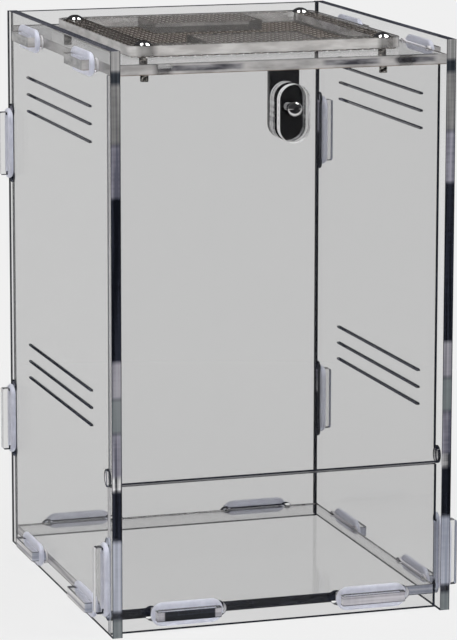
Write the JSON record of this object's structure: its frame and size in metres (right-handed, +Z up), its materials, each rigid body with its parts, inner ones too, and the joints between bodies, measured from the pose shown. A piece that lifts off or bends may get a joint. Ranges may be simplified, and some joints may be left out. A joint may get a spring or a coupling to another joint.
{
  "type": "reptile terrarium",
  "caption": "Tall clear flat-pack terrarium: tabbed sheets locked by soft rings, drop-front door with turn latch, and a mesh lid.",
  "frame": {"origin": "on the ground, at the middle of the footprint's box, which the tabs set at the sides and the back and the latch at the front", "axes": "+X to the right seen from the front, +Y from the front to the back, +Z up"},
  "size_m": [0.1878, 0.1994, 0.2873],
  "materials": {
    "clear_sheet": "clear, polished faces, cut edges",
    "silicone": "milky translucent, satin",
    "black_plastic": "glossy",
    "screw_steel": "polished",
    "mesh_steel": "woven wire"
  },
  "bodies": {
    "shell": {"left_panel": "clear_sheet", "right_panel": "clear_sheet", "back_panel": "clear_sheet", "floor_plate": "clear_sheet", "front_strip": "clear_sheet", "top_plate": "clear_sheet", "mesh": "mesh_steel", "mesh_frame": "clear_sheet", "lid_screws": "screw_steel", "ring_left_top_front": "silicone", "ring_left_top_rear": "silicone", "ring_left_back_upper": "silicone", "ring_left_back_lower": "silicone", "ring_left_floor_front": "silicone", "ring_left_floor_rear": "silicone", "ring_left_strip": "silicone", "ring_right_top_front": "silicone", "ring_right_top_rear": "silicone", "ring_right_back_upper": "silicone", "ring_right_back_lower": "silicone", "ring_right_floor_front": "silicone", "ring_right_floor_rear": "silicone", "ring_right_strip": "silicone", "ring_front_left": "silicone", "ring_front_right": "silicone", "ring_back_left": "silicone", "ring_back_right": "silicone"},
    "door": {"door": "clear_sheet"},
    "latch": {"latch_knob": "clear_sheet", "latch_spacer": "clear_sheet", "latch_tongue": "black_plastic", "latch_screw": "screw_steel"}
  },
  "joints": [
    {"name": "door_hinge", "type": "hinge", "parent": "shell", "child": "door", "pos_m": [0, -0.0905, 0.078], "axis": [1, 0, 0], "range_deg": [0, 110]},
    {"name": "latch_turn", "type": "hinge", "parent": "door", "child": "latch", "pos_m": [0.0055, -0.0905, 0.2552], "axis": [0, 1, 0], "range_deg": [-90, 90]}
  ]
}
